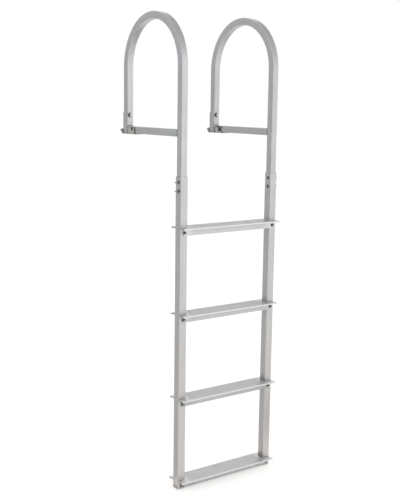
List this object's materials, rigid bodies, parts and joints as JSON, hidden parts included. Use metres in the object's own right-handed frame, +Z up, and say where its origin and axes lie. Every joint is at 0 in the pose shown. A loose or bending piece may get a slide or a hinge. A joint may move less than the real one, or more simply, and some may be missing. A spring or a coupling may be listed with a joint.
{
  "type": "dock ladder",
  "caption": "Aluminium dock ladder with flat treads and tall hoop handrails on deck hinges, so that it flips up out of the water.",
  "frame": {"origin": "on the underside of the left hinge base, below the middle of the handrail hoop's short leg, at deck level", "axes": "+X from the left side to the right side as seen from the water, +Y from the water to the dock, +Z up"},
  "size_m": [0.4234, 0.4233, 1.6767],
  "materials": {
    "tube": "satin mill-finish extruded tube",
    "tread": "satin extrusion with fine grooves",
    "hinge": "dull stainless steel",
    "fastener": "stainless steel",
    "plug": "grey moulded plastic"
  },
  "bodies": {
    "deck_hinges": {"left_deck_base": "hinge", "left_hinge_pin": "fastener", "right_deck_base": "hinge", "right_hinge_pin": "fastener"},
    "ladder": {"left_stile": "tube", "left_handrail_hoop": "tube", "left_deck_bar": "tube", "left_foot_plug": "plug", "left_leg_leaf": "hinge", "right_stile": "tube", "right_handrail_hoop": "tube", "right_deck_bar": "tube", "right_foot_plug": "plug", "right_leg_leaf": "hinge", "tread_1": "tread", "tread_2": "tread", "tread_3": "tread", "tread_4": "tread"}
  },
  "joints": [
    {"name": "flip_up", "type": "hinge", "parent": "deck_hinges", "child": "ladder", "pos_m": [0, 0.027, 0.0125], "axis": [-1, 0, 0], "range_deg": [0, 95]}
  ]
}
